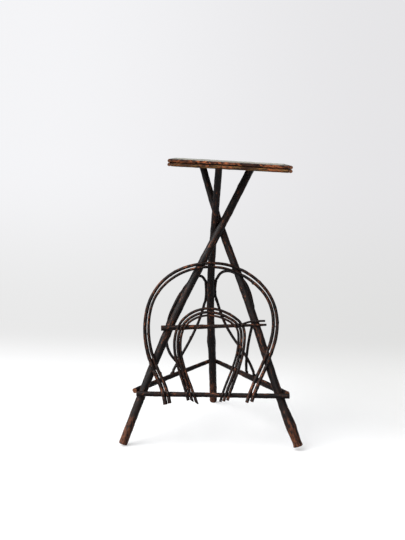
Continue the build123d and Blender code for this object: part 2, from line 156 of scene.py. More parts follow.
# ------------------------------------------------------------------ settings
def colour_setting(name, description, default):
    """A setting that holds a colour."""
    return FloatVectorProperty(
        name=name, description=description, default=default, size=3, subtype="COLOR"
    )


class StickSettings(bpy.types.PropertyGroup):
    """The bark's relief and the fineness of the sticks."""

    leg_relief: FloatProperty(
        name="Leg Relief",
        description="Depth of the furrows in the legs' bark",
        default=0.0007,
        unit="LENGTH",
        subtype="DISTANCE",
    )
    twig_relief: FloatProperty(
        name="Twig Relief",
        description="Depth of the furrows in the twigs' bark",
        default=0.00032,
        unit="LENGTH",
        subtype="DISTANCE",
    )
    ring_step: FloatProperty(
        name="Ring Step",
        description="Distance from one ring of a stick's mesh to the next",
        default=0.0018,
        unit="LENGTH",
        subtype="DISTANCE",
    )


class FinishSettings(bpy.types.PropertyGroup):
    """The colours of the bark, the cut wood, the board and the steel."""

    leg_stain: colour_setting("Leg Stain", "Darkest colour of the legs", (0.0034, 0.0025, 0.0026))
    leg_brown: colour_setting("Leg Brown", "Brown that shows through the stain", (0.034, 0.0145, 0.0090))
    rubbed: colour_setting("Rubbed Bark", "Orange brown where the bark is rubbed", (0.27, 0.085, 0.032))
    edge_brown: colour_setting("Edge Twig Brown", "Olive brown of the board's twigs", (0.25, 0.135, 0.048))
    cut_wood: colour_setting("Cut Wood", "Colour of the sawn ends", (0.30, 0.118, 0.052))
    board_wood: colour_setting("Board Wood", "Colour of the board", (0.50, 0.49, 0.42))
    steel: colour_setting("Nail Steel", "Colour of the nails", (0.10, 0.085, 0.075))


class StageSettings(bpy.types.PropertyGroup):
    """The camera and the light."""

    lens: FloatProperty(
        name="Lens",
        description="Focal length on a 36 mm sensor",
        default=55.0,
        unit="CAMERA",
    )
    pitch: FloatProperty(
        name="Pitch",
        description="How far the camera looks down",
        default=math.radians(8.29),
        unit="ROTATION",
        subtype="ANGLE",
    )
    yaw: FloatProperty(
        name="Yaw",
        description="How far the camera looks to the left",
        default=math.radians(1.51),
        unit="ROTATION",
        subtype="ANGLE",
    )
    roll: FloatProperty(
        name="Roll",
        description="How far the camera leans",
        default=math.radians(1.1),
        unit="ROTATION",
        subtype="ANGLE",
    )
    camera_place: FloatVectorProperty(
        name="Camera Place",
        description="Where the camera stands",
        default=(0.0247, -2.3746, 0.8091),
        size=3,
        unit="LENGTH",
        subtype="TRANSLATION",
    )
    key_light: FloatProperty(
        name="Key Light",
        description="Strength of the soft light from the upper left",
        default=2.8,
    )
    key_from: FloatVectorProperty(
        name="Key From",
        description="Where the key light comes from",
        default=(-1.0, -0.55, 1.3),
        size=3,
        subtype="DIRECTION",
    )
    sky_light: FloatProperty(
        name="Sky Light",
        description="Strength of the light from all round",
        default=0.46,
    )


# ------------------------------------------------------------------- shader kit
def node_group(name, inputs, outputs):
    """A new shader node group with its sockets, its two end nodes and its links."""
    group = bpy.data.node_groups.new(name, "ShaderNodeTree")
    for label, kind, default in inputs:
        socket = group.interface.new_socket(name=label, in_out="INPUT", socket_type=kind)
        if default is not None:
            socket.default_value = default
    for label, kind in outputs:
        group.interface.new_socket(name=label, in_out="OUTPUT", socket_type=kind)
    start = group.nodes.new("NodeGroupInput")
    end = group.nodes.new("NodeGroupOutput")
    return group, start.outputs, end.inputs


def value(tree, operation, *operands):
    """The result of a Math node, each operand a number or a socket."""
    node = tree.nodes.new("ShaderNodeMath")
    node.operation = operation
    for socket, operand in zip(node.inputs, operands):
        plug(tree, operand, socket)
    return node.outputs[0]


def weighed(tree, base, part, weight):
    """A base plus a part that is multiplied by a weight."""
    return value(tree, "ADD", base, value(tree, "MULTIPLY", part, weight))


def plug(tree, source, socket):
    """Link a source socket to a socket, or set the socket to a plain value."""
    if isinstance(source, bpy.types.NodeSocket):
        tree.links.new(source, socket)
    else:
        socket.default_value = source


def ramp(tree, factor, low, high):
    """0 below low, 1 above high, and smooth between them."""
    node = tree.nodes.new("ShaderNodeMapRange")
    node.interpolation_type = "SMOOTHSTEP"
    plug(tree, factor, node.inputs["Value"])
    plug(tree, low, node.inputs["From Min"])
    plug(tree, high, node.inputs["From Max"])
    return node.outputs["Result"]


def blend_colour(tree, factor, below, above):
    """One colour where the factor is 0, the other where it is 1."""
    node = tree.nodes.new("ShaderNodeMix")
    node.data_type = "RGBA"
    plug(tree, factor, node.inputs["Factor"])
    plug(tree, below, node.inputs["A"])
    plug(tree, above, node.inputs["B"])
    return node.outputs["Result"]


def stretched_noise(tree, place, scales, detail=4.0, roughness=0.6, distortion=0.0):
    """Noise over a place that is scaled by (along, across, across)."""
    scaled = tree.nodes.new("ShaderNodeVectorMath")
    scaled.operation = "MULTIPLY"
    plug(tree, place, scaled.inputs[0])
    scaled.inputs[1].default_value = scales
    node = tree.nodes.new("ShaderNodeTexNoise")
    node.inputs["Scale"].default_value = 1.0
    node.inputs["Detail"].default_value = detail
    node.inputs["Roughness"].default_value = roughness
    node.inputs["Distortion"].default_value = distortion
    plug(tree, scaled.outputs[0], node.inputs["Vector"])
    return node.outputs["Fac"]


def bark_group():
    """Streaks, flecks, patches and fine relief of bark, from a place on a straightened stick."""
    group, given, made = node_group(
        "bark_grain",
        [("Place", "NodeSocketVector", None), ("Rub", "NodeSocketFloat", 0.0)],
        [
            ("Streaks", "NodeSocketFloat"),
            ("Flecks", "NodeSocketFloat"),
            ("Patches", "NodeSocketFloat"),
            ("Height", "NodeSocketFloat"),
        ],
    )
    place = given["Place"]
    long_grain = stretched_noise(group, place, (34, 360, 360), 6.0, 0.62, 0.3)
    flakes = stretched_noise(group, place, (105, 290, 290), 5.0, 0.65, 0.4)
    patches = stretched_noise(group, place, (16, 70, 70), 3.0, 0.55, 0.4)
    fine = stretched_noise(group, place, (450, 1900, 1900), 3.0, 0.6)
    rubbed = weighed(group, flakes, given["Rub"], 0.2)
    group.links.new(ramp(group, long_grain, 0.44, 0.66), made["Streaks"])
    group.links.new(ramp(group, rubbed, 0.61, 0.72), made["Flecks"])
    group.links.new(ramp(group, patches, 0.40, 0.62), made["Patches"])
    height = weighed(group, value(group, "MULTIPLY", long_grain, 0.6), fine, 0.25)
    height = weighed(group, height, flakes, 0.3)
    group.links.new(height, made["Height"])
    return group


def wood_group():
    """Growth lines and pores of sawn wood, from a place along, across and through it."""
    group, given, made = node_group(
        "sawn_grain",
        [("Place", "NodeSocketVector", None), ("Lines", "NodeSocketFloat", 260.0)],
        [("Lines", "NodeSocketFloat"), ("Pores", "NodeSocketFloat"), ("Wear", "NodeSocketFloat")],
    )
    place = given["Place"]
    waver = stretched_noise(group, place, (3.0, 26, 26), 3.0, 0.5)
    parts = group.nodes.new("ShaderNodeSeparateXYZ")
    plug(group, place, parts.inputs[0])
    across = value(group, "MULTIPLY", parts.outputs["Y"], given["Lines"])
    across = weighed(group, across, waver, 22.0)
    bands = value(group, "ABSOLUTE", value(group, "SINE", across))
    group.links.new(ramp(group, bands, 0.15, 0.95), made["Lines"])
    pores = stretched_noise(group, place, (60, 1500, 1500), 4.0, 0.7)
    wear = stretched_noise(group, place, (9, 17, 17), 5.0, 0.62, 0.5)
    group.links.new(ramp(group, pores, 0.52, 0.66), made["Pores"])
    group.links.new(ramp(group, wear, 0.42, 0.66), made["Wear"])
    return group


GROUPS = {}
FINISHES = {}


def new_material(name):
    """A new material with its node tree and its Principled shader, kept in FINISHES."""
    material = bpy.data.materials.new(name)
    FINISHES[name] = material
    material.use_nodes = True
    tree = material.node_tree
    return material, tree, tree.nodes["Principled BSDF"]


def attribute(tree, name, output):
    """A named attribute of the mesh, as a socket."""
    node = tree.nodes.new("ShaderNodeAttribute")
    node.attribute_name = name
    return node.outputs[output]


def place_group(tree, group, **given):
    """One of the node groups placed in a material, and its outputs."""
    node = tree.nodes.new("ShaderNodeGroup")
    node.node_tree = GROUPS[group]
    for label, source in given.items():
        plug(tree, source, node.inputs[label])
    return node.outputs


def add_bump(tree, shader, height, distance, strength):
    """Relief finer than the mesh, from a height."""
    bump = tree.nodes.new("ShaderNodeBump")
    bump.inputs["Distance"].default_value = distance
    bump.inputs["Strength"].default_value = strength
    tree.links.new(height, bump.inputs["Height"])
    tree.links.new(bump.outputs["Normal"], shader.inputs["Normal"])


def bark_material(name, stain, brown, rubbed, brown_share, rub_share, sheen, coarse=1.0):
    """Stained bark: nearly black, brown in streaks, and rubbed bright in flecks and on its ridges."""
    material, tree, shader = new_material(name)
    ridge = attribute(tree, "ridge", "Fac")
    rub = weighed(tree, attribute(tree, "rub", "Fac"), ridge, 0.12)
    place = tree.nodes.new("ShaderNodeVectorMath")
    place.operation = "SCALE"
    plug(tree, attribute(tree, "grain_at", "Vector"), place.inputs["Vector"])
    place.inputs["Scale"].default_value = 1 / coarse
    bark = place_group(tree, "bark_grain", Place=place.outputs[0], Rub=rub)
    uneven = weighed(tree, 0.2, bark["Patches"], 0.8)
    streaks = value(tree, "MULTIPLY", bark["Streaks"], uneven)
    browned = value(tree, "MULTIPLY", streaks, brown_share)
    colour = blend_colour(tree, browned, (*stain, 1), (*brown, 1))
    flecks = value(tree, "MULTIPLY", bark["Flecks"], uneven)
    worn = value(tree, "MULTIPLY", flecks, rub_share)
    colour = blend_colour(tree, value(tree, "MINIMUM", worn, 1.0), colour, (*rubbed, 1))
    plug(tree, colour, shader.inputs["Base Color"])
    plug(tree, weighed(tree, 0.46, browned, 0.25), shader.inputs["Roughness"])
    shader.inputs["Specular IOR Level"].default_value = sheen
    add_bump(tree, shader, bark["Height"], 0.0011, 0.85)
    return material


def cut_material(name, wood, dark):
    """A sawn end: rings round the pith, darker towards the bark."""
    material, tree, shader = new_material(name)
    place = attribute(tree, "grain_at", "Vector")
    parts = tree.nodes.new("ShaderNodeSeparateXYZ")
    plug(tree, place, parts.inputs[0])
    squares = [value(tree, "POWER", parts.outputs[axis], 2.0) for axis in ("Y", "Z")]
    across = value(tree, "SQRT", value(tree, "ADD", *squares))
    waver = stretched_noise(tree, place, (300, 300, 300), 3.0, 0.6)
    rings = weighed(tree, value(tree, "MULTIPLY", across, 4200.0), waver, 6.0)
    rings = weighed(tree, 0.35, value(tree, "SINE", rings), 0.22)
    stained = ramp(tree, stretched_noise(tree, place, (420, 420, 420), 4.0, 0.65), 0.42, 0.66)
    shade = value(tree, "MINIMUM", weighed(tree, rings, stained, 0.55), 1.0)
    plug(tree, blend_colour(tree, shade, (*wood, 1), (*dark, 1)), shader.inputs["Base Color"])
    shader.inputs["Roughness"].default_value = 0.78
    shader.inputs["Specular IOR Level"].default_value = 0.2
    add_bump(tree, shader, value(tree, "ADD", rings, stained), 0.0003, 0.6)
    return material


def board_material(name, wood):
    """An old weathered board: grey green wood with dark grain and worn patches."""
    material, tree, shader = new_material(name)
    wood = Vector(wood)
    grain = place_group(tree, "sawn_grain", Place=attribute(tree, "grain_at", "Vector"))
    colour = blend_colour(tree, grain["Lines"], (*(wood * 0.62), 1), (*wood, 1))
    colour = blend_colour(tree, grain["Wear"], colour, (*(wood * 0.34), 1))
    pores = value(tree, "MULTIPLY", grain["Pores"], 0.75)
    colour = blend_colour(tree, pores, colour, (*(wood * 0.16), 1))
    plug(tree, colour, shader.inputs["Base Color"])
    plug(tree, weighed(tree, 0.48, grain["Wear"], 0.25), shader.inputs["Roughness"])
    height = value(tree, "SUBTRACT", value(tree, "MULTIPLY", grain["Lines"], 0.5), grain["Pores"])
    shader.inputs["Specular IOR Level"].default_value = 0.3
    add_bump(tree, shader, height, 0.0003, 0.7)
    return material


def steel_material(name, steel):
    """Old nail steel with rust in patches."""
    material, tree, shader = new_material(name)
    rust_brown = (0.06, 0.022, 0.01, 1)
    place = tree.nodes.new("ShaderNodeTexCoord").outputs["Object"]
    rust = ramp(tree, stretched_noise(tree, place, (900, 900, 900), 4.0, 0.6), 0.42, 0.6)
    plug(tree, blend_colour(tree, rust, (*steel, 1), rust_brown), shader.inputs["Base Color"])
    plug(tree, value(tree, "SUBTRACT", 0.9, value(tree, "MULTIPLY", rust, 0.85)), shader.inputs["Metallic"])
    plug(tree, weighed(tree, 0.38, rust, 0.4), shader.inputs["Roughness"])
    add_bump(tree, shader, rust, 0.0002, 0.5)
    return material


# ---------------------------------------------------------- the sticks of the frame
def skin_of(name):
    """The surface and the points of a CAD piece."""
    mesh = NODES[name].data
    points = [vertex.co.copy() for vertex in mesh.vertices]
    return BVHTree.FromPolygons(points, [face.vertices[:] for face in mesh.polygons]), points


def flat_end(points, extreme, reach):
    """The middle and the radius of the flat end that an extreme point lies on."""
    rim = [point for point in points if (point - extreme).length < reach]
    low = Vector([min(point[axis] for point in rim) for axis in range(3)])
    high = Vector([max(point[axis] for point in rim) for axis in range(3)])
    middle = (low + high) / 2
    return (*middle, (extreme - middle).length)


def ring_round(skin, place, way, radius):
    """The middle and the radius of a stick near a place, from rays that come in all round it."""
    side = way.orthogonal().normalized()
    across = way.cross(side)
    start = radius * RAY_START
    rows = []
    for number in range(RAYS):
        angle = math.tau * number / RAYS
        outward = side * math.cos(angle) + across * math.sin(angle)
        point, normal, _, _ = skin.ray_cast(place + outward * start, -outward, start)
        if point is None or normal.dot(outward) <= RAY_SQUARE:
            continue
        if (point - place).length > radius * RAY_NEAREST:
            rows.append(((point - place).dot(side), (point - place).dot(across)))
    if len(rows) < RAYS_NEEDED:
        return None
    rows = np.array(rows)
    system = np.column_stack([2 * rows, np.ones(len(rows))])
    right, up, rest = np.linalg.lstsq(system, (rows**2).sum(axis=1), rcond=None)[0]
    return place + side * right + across * up, math.sqrt(rest + right**2 + up**2)


def walk(skin, before, place, radius, step):
    """Rings (x, y, z, radius) along a stick, on from a place inside it as far as it runs."""
    rings = []
    for _ in range(LONGEST_WALK):
        for _ in range(2):
            way = (place - before).normalized()
            found = ring_round(skin, place, way, radius)
            if found is None:
                return rings
            place, radius = found
        rings.append((*place, radius))
        way = (place - before).normalized()
        before, place = place, place + way * step
    raise RuntimeError("a stick of the frame has no end")


def up_to_end(skin, rings, step):
    """The rings with a last one in the stick's flat end."""
    before, last = Vector(rings[-2][:3]), Vector(rings[-1][:3])
    end, _, _, far = skin.ray_cast(last, (last - before).normalized())
    if far < step / 3:
        rings = rings[:-1]
    return [*rings, (*end, rings[-1][3])]


def straight_stations(name, reaches):
    """The two ends of a straight stick."""
    _, points = skin_of(name)
    lows = [min(point[axis] for point in points) for axis in range(3)]
    highs = [max(point[axis] for point in points) for axis in range(3)]
    spans = [high - low for low, high in zip(lows, highs)]
    longest = spans.index(max(spans))
    tips = [pick(points, key=lambda point: point[longest]) for pick in (min, max)]
    return [flat_end(points, tip, reach) for tip, reach in zip(tips, reaches)]


def leg_stations(name):
    """A leg from its foot to a little above the board's underside."""
    skin, points = skin_of(name)
    foot = flat_end(points, min(points, key=lambda point: point.z), LEG_END)
    foot_middle = Vector(foot[:3])
    rings = [foot, *walk(skin, foot_middle, foot_middle + UP * LEG_STEP, foot[3], LEG_STEP)]
    before, last = Vector(rings[-3][:3]), Vector(rings[-2][:3])
    beyond = last + (last - before).normalized() * LEG_STEP * LEG_OVERRUN_STEPS
    return [*rings[:-1], (*beyond, rings[-2][3])]


def bent_stations(name):
    """A bent twig from its left tail over its crown to its right one."""
    skin, points = skin_of(name)
    top = max(points, key=lambda point: point.z)
    under = skin.ray_cast(top - UP * UNDER_SKIN, -UP)[0]
    crown = (top + under) / 2
    radius = (top - under).length / 2
    turns = [math.tau * number / LEVEL_WAYS for number in range(LEVEL_WAYS)]
    level = [Vector((math.cos(turn), math.sin(turn), 0)) for turn in turns]
    along = max(level, key=lambda way: skin.ray_cast(crown, way)[3])
    if along.x > 0:
        along = -along
    left, right = (
        up_to_end(skin, walk(skin, crown - way * TWIG_STEP, crown, radius, TWIG_STEP), TWIG_STEP)
        for way in (along, -along)
    )
    return [*reversed(left), *right[1:]]


def prong_stations(rail_left, rail_right):
    """The rail's upper prong, from its tip into the rail."""
    skin, points = skin_of("mid_rail")
    tip = flat_end(points, max(points, key=lambda point: point.z), PRONG_END)
    tip_middle = Vector(tip[:3])
    way = (Vector(rail_left[:3]) - Vector(rail_right[:3])).normalized()
    rings = [tip, *walk(skin, tip_middle, tip_middle + way * TWIG_STEP, tip[3], TWIG_STEP)]
    rail_middle = Vector(rail_right[:3])
    far = (Vector(rings[-1][:3]) - rail_middle).dot(way) + TWIG_STEP * PRONG_ROOT_STEPS
    return [*rings, (*(rail_middle + way * far), tip[3] * PRONG_ROOT_SHARE)]


# --------------------------------------------------------------------- mesh kit
def run_along(rows):
    """How far along a line of places each of them lies."""
    return np.concatenate([[0], np.cumsum(np.linalg.norm(np.diff(rows[:, :3], axis=0), axis=1))])


def smooth_course(stations, step):
    """Even steps along the smooth line through stations of (x, y, z, radius)."""
    stations = np.array(stations, float)
    run = run_along(stations)
    gaps = np.diff(run)
    count = len(run)
    system = np.eye(count)
    slopes = np.diff(stations, axis=0) / gaps[:, None]
    wanted = np.zeros_like(stations)
    for row in range(1, count - 1):
        system[row, row - 1 : row + 2] = gaps[row - 1], 2 * (gaps[row - 1] + gaps[row]), gaps[row]
        wanted[row] = 6 * (slopes[row] - slopes[row - 1])
    bends = np.linalg.solve(system, wanted)

    def at(places):
        left = np.clip(np.searchsorted(run, places, side="right") - 1, 0, count - 2)
        gap = gaps[left][:, None]
        after = (places - run[left])[:, None]
        before = gap - after
        return (
            (bends[left] * before**3 + bends[left + 1] * after**3) / (6 * gap)
            + (stations[left] / gap - bends[left] * gap / 6) * before
            + (stations[left + 1] / gap - bends[left + 1] * gap / 6) * after
        )

    fine = at(np.linspace(0, run[-1], FINE_PLACES * count))
    length = run_along(fine)
    rings = max(4, round(length[-1] / step))
    marks = np.interp(np.linspace(0, length[-1], rings + 1), length, np.linspace(0, run[-1], len(fine)))
    return at(marks), np.linspace(0, length[-1], rings + 1)


class Course:
    """A stick's centre line with a frame at each ring."""

    def __init__(self, stations, step):
        rows, self.along = smooth_course(stations, step)
        self.places = [Vector(row[:3]) for row in rows]
        self.radii = rows[:, 3]
        last = len(self.places) - 1
        self.ways = [
            (self.places[min(index + 1, last)] - self.places[max(index - 1, 0)]).normalized()
            for index in range(last + 1)
        ]
        side = self.ways[0].orthogonal().normalized()
        self.sides = []
        for way in self.ways:
            side = (side - way * side.dot(way)).normalized()
            self.sides.append(side)

    def length(self):
        """How long the stick is."""
        return self.along[-1]

    def swell(self, shares):
        """Change the girth along the stick by shares of it at even places."""
        marks = np.linspace(0, 1, len(shares))
        self.radii = self.radii * np.interp(self.along / self.length(), marks, shares)

    def press_on(self, sticks):
        """Move this stick onto those it is nailed to: in over the CAD's air, out of thick ones."""
        ours = np.array(self.places)
        moves = np.zeros_like(ours)
        for stick in sticks:
            theirs = np.array(stick.places)
            far = np.linalg.norm(ours[:, None] - theirs[None], axis=2)
            nearest = far.argmin(axis=1)
            air = far.min(axis=1) - self.radii - stick.radii[nearest]
            fade = np.clip((PRESS_FAR - air) / (PRESS_FAR - PRESS_NEAR), 0, 1)
            share = fade * fade * (3 - 2 * fade) * (air + PRESS_IN) / far.min(axis=1)
            moves += (theirs[nearest] - ours) * share[:, None]
        self.places = [place + Vector(move) for place, move in zip(self.places, moves)]


class Knob:
    """A knot or bud scar: a swelling at a place along a stick and an angle round it."""

    def __init__(self, along, angle, reach, height):
        self.along = along
        self.angle = angle
        self.reach = reach
        self.height = height


def bark_radius(radius, along, angle, relief, seed, knobs):
    """The bark's radius at a place on the stick, and how high the ridge there stands (0 to 1)."""
    turn = Vector((math.cos(angle), math.sin(angle), 0))
    lobes = noise.noise(Vector((turn.x * 1.1, turn.y * 1.1, along * 22 + seed * 7.3)))
    lumps = noise.noise(Vector((turn.x * 1.7 + 9, turn.y * 1.7, along * 70 + seed * 3.1)))
    width = radius / FURROW_WIDTH
    furrow = noise.noise(Vector((turn.x * width, turn.y * width, along * 75 + seed * 5.7)))
    crack = noise.noise(Vector((turn.x * width * 2.1, turn.y * width * 2.1, along * 190 + seed * 1.9)))
    ridge = 0.5 + furrow * 0.75 + crack * 0.35
    ridge = min(max(ridge, 0), 1)
    grown = radius * (1 + LOBES * lobes + LUMPS * lumps) - relief * (0.6 - ridge)
    for knob in knobs:
        far = (along - knob.along) / knob.reach
        if abs(far) < 3:
            round_off = math.remainder(angle - knob.angle, math.tau) * radius / knob.reach
            swell = math.exp(-far * far - round_off * round_off * 0.8)
            grown += knob.height * swell
            ridge = min(1, ridge + swell * 0.5)
    return grown, ridge


def barked_stick(name, course, spokes, relief, seed, knobs, wear):
    """A stick's mesh: bark in relief along its course, with sawn and slightly rounded ends."""
    verts, places, ridges, rubs, faces = [], [], [], [], []
    last = len(course.places) - 1

    def add_ring(index, inset, drop, rough):
        centre, way, side = course.places[index], course.ways[index], course.sides[index]
        across = way.cross(side)
        for spoke in range(spokes):
            angle = math.tau * spoke / spokes
            along = course.along[index]
            radius, ridge = bark_radius(course.radii[index], along, angle, relief, seed, knobs)
            radius *= inset
            outward = side * math.cos(angle) + across * math.sin(angle)
            right, up = math.cos(angle) * radius, math.sin(angle) * radius
            saw = noise.noise(Vector((right, up, seed * 0.01)) * SAW_GRAIN) * rough
            verts.append(inside_box(centre + outward * radius + way * (drop + saw)))
            places.append((along + drop, right, up))
            ridges.append(ridge)
            rubs.append(wear(verts[-1], outward))

    def join(first, second):
        for spoke in range(spokes):
            after = (spoke + 1) % spokes
            faces.append((first + spoke, first + after, second + after, second + spoke))

    def rough_at(inset):
        return SAW_ROUGH if inset < END_INSETS[-1] else 0.0

    for inset in END_INSETS:
        add_ring(0, inset, 0, rough_at(inset))
    add_ring(0, RIM_INSET, course.radii[0] * WORN_END * RIM_DROP, 0)
    for index in range(1, last):
        add_ring(index, 1, 0, 0)
    add_ring(last, RIM_INSET, -course.radii[-1] * WORN_END * RIM_DROP, 0)
    for inset in reversed(END_INSETS):
        add_ring(last, inset, 0, rough_at(inset))
    rings = len(verts) // spokes
    for ring in range(rings - 1):
        join(ring * spokes, (ring + 1) * spokes)
    faces.append(tuple(reversed(range(spokes))))
    faces.append(tuple(range((rings - 1) * spokes, rings * spokes)))
    mesh = bpy.data.meshes.new(name)
    mesh.from_pydata([tuple(v) for v in verts], [], faces)
    cut_rings = len(END_INSETS)
    for polygon in mesh.polygons:
        ring = polygon.index // spokes
        sawn = ring < cut_rings or ring >= rings - 1 - cut_rings
        polygon.material_index = 1 if sawn else 0
        polygon.use_smooth = True
    store(mesh, "grain_at", "FLOAT_VECTOR", places)
    store(mesh, "ridge", "FLOAT", ridges)
    store(mesh, "rub", "FLOAT", rubs)
    return mesh


def inside_box(point):
    """The point, moved onto the stand's outer box where the bark would stand out of it."""
    low, high = CAD_BOX
    return Vector([min(max(point[axis], low[axis]), high[axis]) for axis in range(3)])


def store(mesh, name, kind, rows):
    """Keep a row for each of the mesh's points as an attribute."""
    layer = mesh.attributes.new(name, kind, "POINT")
    field = "vector" if kind == "FLOAT_VECTOR" else "value"
    layer.data.foreach_set(field, np.array(rows, float).ravel())


def put(name, mesh, materials, nodes):
    """A piece that stands for CAD nodes and rides on the stand."""
    piece = bpy.data.objects.new(name, mesh)
    for material in materials:
        mesh.materials.append(material)
    bpy.context.scene.collection.objects.link(piece)
    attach(piece, "root")
    if nodes:
        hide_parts(*nodes)
    return piece


def scattered_knobs(rng, length, every, reach, height):
    """Bud scars at uneven distances, each on about the far side from the last."""
    knobs = []
    along = every * rng.uniform(0.3, 0.9)
    angle = rng.uniform(0, math.tau)
    while along < length - every * 0.2:
        knobs.append(Knob(along, angle, reach * rng.uniform(0.7, 1.4), height * rng.uniform(0.4, 1.2)))
        along += every * rng.uniform(0.6, 1.5)
        angle += math.pi + rng.uniform(-0.9, 0.9)
    return knobs


def rub_outward(share, way):
    """Wear where a stick faces one way, such as out of the stand or up; where that way is toward the key
    light, the flecks are partly a painted highlight.
    """
    way = Vector(way).normalized()

    def wear(point, outward):
        patch = noise.noise(point * 38) * 0.5 + 0.5
        return max(0.0, outward.dot(way)) ** 2 * patch * share

    return wear


def rub_at_edge(point, outward):
    """Wear of a twig at the board's edge: where it faces away from the board, in patches."""
    away = point - BOARD_TOP
    away.z = 0
    patch = noise.noise(point * 17) * 0.9 + 0.45
    return max(0.0, outward.dot(away.normalized())) * min(max(patch, 0.0), 1.0) * 1.3


def rub_at_foot(point, outward):
    """Wear of a leg: towards its foot, and in patches above."""
    patch = noise.noise(point * 24) * 0.5 + 0.5
    return min(1.0, max(0.0, 1 - point.z / 0.11) * 0.9 + patch * 0.45)


COURSES = {}


def course_of(name, stations, step):
    """The course of a named stick, kept for what is put on it later."""
    course = Course(stations, step)
    course.swell(SWELLS.get(name, (1, 1)))
    COURSES[name] = course
    return course


def bark_of(kind):
    """A stick's two materials: its bark and its sawn ends."""
    return FINISHES[kind], FINISHES["sawn_end"]


def cut_off(mesh, place, out):
    """Saw off what a closed stick has beyond a plane, and close it with cut wood."""
    work = bmesh.new()
    work.from_mesh(mesh)
    cut = bmesh.ops.bisect_plane(
        work,
        geom=work.verts[:] + work.edges[:] + work.faces[:],
        plane_co=place,
        plane_no=out,
        clear_outer=True,
    )
    rim = [item for item in cut["geom_cut"] if isinstance(item, bmesh.types.BMEdge)]
    for face in bmesh.ops.holes_fill(work, edges=rim)["faces"]:
        face.material_index = 1
        face.smooth = False
    work.to_mesh(mesh)
    work.free()


def weld(piece, branch_mesh):
    """Join a branch to a piece as one closed skin."""
    for material in piece.data.materials:
        branch_mesh.materials.append(material)
    branch = bpy.data.objects.new("branch", branch_mesh)
    bpy.context.scene.collection.objects.link(branch)
    union = piece.modifiers.new("union", "BOOLEAN")
    union.operation = "UNION"
    union.solver = "EXACT"
    union.object = branch
    shaped = bpy.data.meshes.new_from_object(piece.evaluated_get(bpy.context.evaluated_depsgraph_get()))
    piece.modifiers.clear()
    piece.data = shaped
    bpy.data.objects.remove(branch)


def bent_twigs(context, names, spokes, bud_height, rub_way, rub_share, seed):
    """Make a group of bent twigs and press each of them on the sticks made before the group."""
    sticks = context.scene.twig_sticks
    wear = rub_outward(rub_share, rub_way)
    for number, name in enumerate(names):
        rng = random.Random(seed + number)
        course = course_of(name, bent_stations(name), sticks.ring_step * 0.9)
        course.press_on([COURSES[stick] for stick in COURSES if stick not in names])
        knobs = scattered_knobs(rng, course.length(), every=0.055, reach=0.0032, height=bud_height)
        knobs += scattered_knobs(rng, course.length(), every=0.15, reach=0.0019, height=bud_height * 2.6)
        mesh = barked_stick(name + "_bark", course, spokes, sticks.twig_relief, seed + number, knobs, wear)
        if name in SLANTED:
            start = course.places[0] + course.ways[0] * course.radii[0]
            cut_off(mesh, start, Vector(SLANT_WAY))
        put(name + "_bark", mesh, bark_of("arch_bark"), [name])


def crossings(thin, thick):
    """Where a thin stick lies on a thick one: its middle there and the way out of the thick one."""
    ours = np.array(thin.places)
    theirs = np.array(thick.places)
    far = np.linalg.norm(ours[:, None] - theirs[None], axis=2)
    nearest = far.argmin(axis=1)
    air = far.min(axis=1) - thin.radii - thick.radii[nearest]
    found = []
    close = [index for index in range(len(ours)) if air[index] < BRAD_AIR]
    for index in close:
        if found and index - found[-1][-1] == 1:
            found[-1].append(index)
        else:
            found.append([index])
    for run in found:
        index = min(run, key=lambda row: air[row])
        place = thin.places[index]
        yield place, (place - thick.places[nearest[index]]).normalized(), thin.radii[index]


# -------------------------------------------------------------------- operators
class Finishes(bpy.types.Operator):
    """Make the finishes of the stand"""

    bl_idname = "twig_stand.finishes"
    bl_label = "Finishes"

    def execute(self, context):
        looks = context.scene.twig_finishes
        GROUPS["bark_grain"] = bark_group()
        GROUPS["sawn_grain"] = wood_group()
        dark, brown, rubbed = looks.leg_stain, looks.leg_brown, looks.rubbed
        bark_material("leg_bark", dark, brown, rubbed, 1.0, 0.55, 0.28, 1.7)
        bark_material("stretcher_bark", dark, brown, rubbed, 1.2, 0.85, 0.2, 1.1)
        bark_material("arch_bark", dark, brown, rubbed, 1.1, 0.85, 0.2)
        low_row = (Vector(brown) * 0.8, looks.edge_brown, Vector(rubbed) * 1.3)
        high_row = (Vector(dark) * 1.5, Vector(brown) * 3, Vector(rubbed) * 1.5)
        bark_material("edge_bark", *low_row, 1.5, 1.0, 0.12, 1.2)
        bark_material("edge_bark_dark", *high_row, 1.2, 1.3, 0.12, 1.1)
        cut_material("sawn_end", looks.cut_wood, brown)
        board_material("board_top", looks.board_wood)
        steel_material("nail_steel", looks.steel)
        return {"FINISHED"}


class Legs(bpy.types.Operator):
    """Make the three crossed saplings"""

    bl_idname = "twig_stand.legs"
    bl_label = "Legs"

    def execute(self, context):
        sticks = context.scene.twig_sticks
        for seed, name in enumerate(("leg_left", "leg_right", "leg_back")):
            rng = random.Random(seed + 3)
            course = course_of(name, leg_stations(name), sticks.ring_step * 1.15)
            knobs = scattered_knobs(rng, course.length(), every=0.085, reach=0.006, height=0.0009)
            mesh = barked_stick(name + "_bark", course, 36, sticks.leg_relief, seed + 1, knobs, rub_at_foot)
            cut_off(mesh, BOARD_TOP - BOARD_UP * BOARD_THICKNESS, BOARD_UP)
            put(name + "_bark", mesh, bark_of("leg_bark"), [name])
        return {"FINISHED"}


